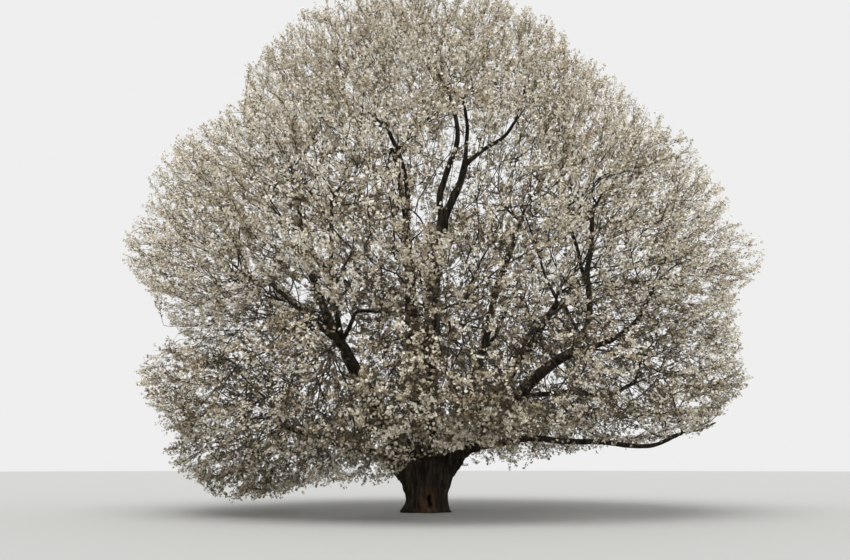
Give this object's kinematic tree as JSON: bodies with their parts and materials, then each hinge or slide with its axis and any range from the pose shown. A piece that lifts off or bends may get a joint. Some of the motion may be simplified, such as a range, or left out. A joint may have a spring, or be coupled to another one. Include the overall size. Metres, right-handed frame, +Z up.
{
  "type": "cherry tree in blossom",
  "caption": "Wide, domed old cherry tree in full white blossom, with a short flared trunk that divides low into spreading boughs.",
  "frame": {"origin": "middle of the trunk's flat cut at ground level", "axes": "+Z up, +X to the right and +Y away from the viewer of the picture"},
  "size_m": [20.5828, 18.8975, 17.5073],
  "materials": {
    "bark": "rough furrowed dark grey-brown bark, reddish brown on the trunk's lower part",
    "blossom": "matt thin white petals with a warm tint"
  },
  "bodies": {
    "root": {"trunk": "bark", "bough_back": "bark", "bough_back_left": "bark", "bough_back_right": "bark", "bough_back_rise": "bark", "bough_fork_left": "bark", "bough_fork_out": "bark", "bough_fork_right": "bark", "bough_fork_up": "bark", "bough_front": "bark", "bough_front_left": "bark", "bough_front_right": "bark", "bough_inner_right": "bark", "bough_leader": "bark", "bough_leader_left": "bark", "bough_leader_right": "bark", "bough_left": "bark", "bough_left_crook": "bark", "bough_left_front": "bark", "bough_left_out": "bark", "bough_left_rise": "bark", "bough_low_left": "bark", "bough_low_right": "bark", "bough_right": "bark", "bough_right_front": "bark", "bough_right_low": "bark", "bough_right_out": "bark", "bough_right_rise": "bark", "blossom_high_back_left": "blossom", "blossom_high_back_right": "blossom", "blossom_high_front_left": "blossom", "blossom_high_front_right": "blossom", "blossom_high_left": "blossom", "blossom_high_right": "blossom", "blossom_inner_left": "blossom", "blossom_inner_right": "blossom", "blossom_low_back": "blossom", "blossom_low_back_left": "blossom", "blossom_low_back_right": "blossom", "blossom_low_front": "blossom", "blossom_low_front_left": "blossom", "blossom_low_front_right": "blossom", "blossom_low_left": "blossom", "blossom_low_right": "blossom", "blossom_lowest_right": "blossom", "blossom_middle_back": "blossom", "blossom_middle_back_left": "blossom", "blossom_middle_back_right": "blossom", "blossom_middle_front": "blossom", "blossom_middle_front_left": "blossom", "blossom_middle_front_right": "blossom", "blossom_middle_left": "blossom", "blossom_middle_right": "blossom", "blossom_peak": "blossom", "blossom_top_back": "blossom", "blossom_top_front": "blossom", "blossom_top_left": "blossom", "blossom_top_right": "blossom"}
  },
  "joints": []
}
